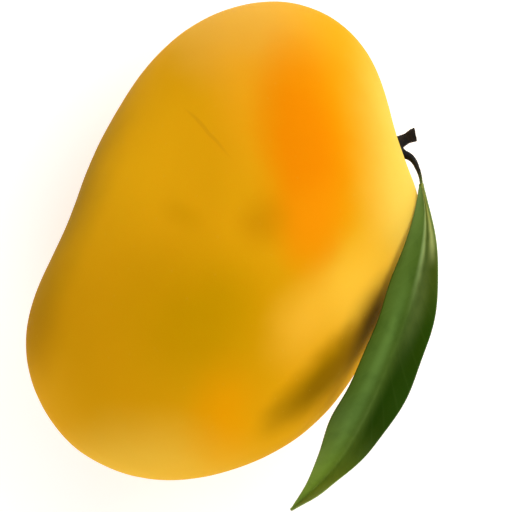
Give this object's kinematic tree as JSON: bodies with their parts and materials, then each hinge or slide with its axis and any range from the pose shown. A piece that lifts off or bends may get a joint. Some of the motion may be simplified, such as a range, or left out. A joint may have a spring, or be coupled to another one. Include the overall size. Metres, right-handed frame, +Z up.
{
  "type": "mango with leaf",
  "caption": "Ripe yellow-orange mango lying on its broad cheek, with the dark stub of its stem and a folded green leaf on a short stalk.",
  "frame": {"origin": "middle of the small flat spot on the lower cheek that the fruit rests on", "axes": "+Z up, out of the upper cheek; +Y along the fruit towards its stem end; +X towards its rounded back, where the leaf hangs"},
  "size_m": [0.0946, 0.1249, 0.0716],
  "materials": {
    "mango_skin": "waxy satin skin, yellow-orange",
    "stem_bark": "dry, almost black bark",
    "stalk_bark": "dark brown, turning olive towards the blade",
    "leaf_green": "leathery satin green"
  },
  "bodies": {
    "root": {"fruit": "mango_skin", "stem": "stem_bark", "leaf_stalk": "stalk_bark", "leaf_blade": "leaf_green"}
  },
  "joints": []
}
